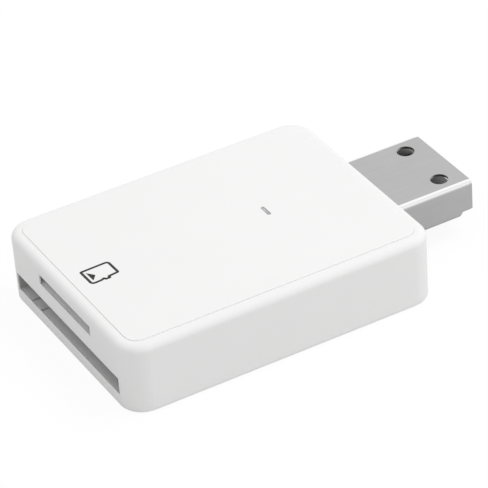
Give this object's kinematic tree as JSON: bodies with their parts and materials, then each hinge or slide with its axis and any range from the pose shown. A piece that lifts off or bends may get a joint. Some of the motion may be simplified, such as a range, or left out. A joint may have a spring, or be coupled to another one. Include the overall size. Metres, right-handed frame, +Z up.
{
  "type": "memory card reader",
  "caption": "Flat white memory card reader with an SD slot below a microSD slot in one end face and a USB plug at the other end.",
  "frame": {"origin": "middle of the part's box, on the surface that it rests on", "axes": "+Y from the card slots towards the plug's tip, +X across the slots, +Z up out of the cover"},
  "size_m": [0.0298, 0.0498, 0.009],
  "materials": {
    "white_plastic": "satin",
    "smoke_lens": "gloss",
    "board_laminate": "satin",
    "led_resin": "gloss",
    "black_resin": "matte",
    "tinned_lead": "satin",
    "ceramic_chip": "matte",
    "socket_steel": "satin",
    "gold_spring": "gloss",
    "grey_plastic": "matte",
    "plug_steel": "satin",
    "plug_plastic": "matte"
  },
  "bodies": {
    "root": {"housing": "white_plastic", "top_cover": "white_plastic", "light_pipe": "smoke_lens", "circuit_board": "board_laminate", "status_led": "led_resin", "controller_chip": "black_resin", "controller_leads": "tinned_lead", "crystal_can": "tinned_lead", "chip_capacitors": "ceramic_chip", "chip_resistors": "black_resin", "sd_socket_frame": "grey_plastic", "sd_socket_shell": "socket_steel", "sd_contacts": "gold_spring", "sd_switch_springs": "gold_spring", "microsd_socket_frame": "grey_plastic", "microsd_socket_shell": "socket_steel", "microsd_contacts": "gold_spring", "microsd_switch_spring": "gold_spring", "usb_shell": "plug_steel", "usb_insulator": "plug_plastic", "usb_contacts": "gold_spring"}
  },
  "joints": []
}
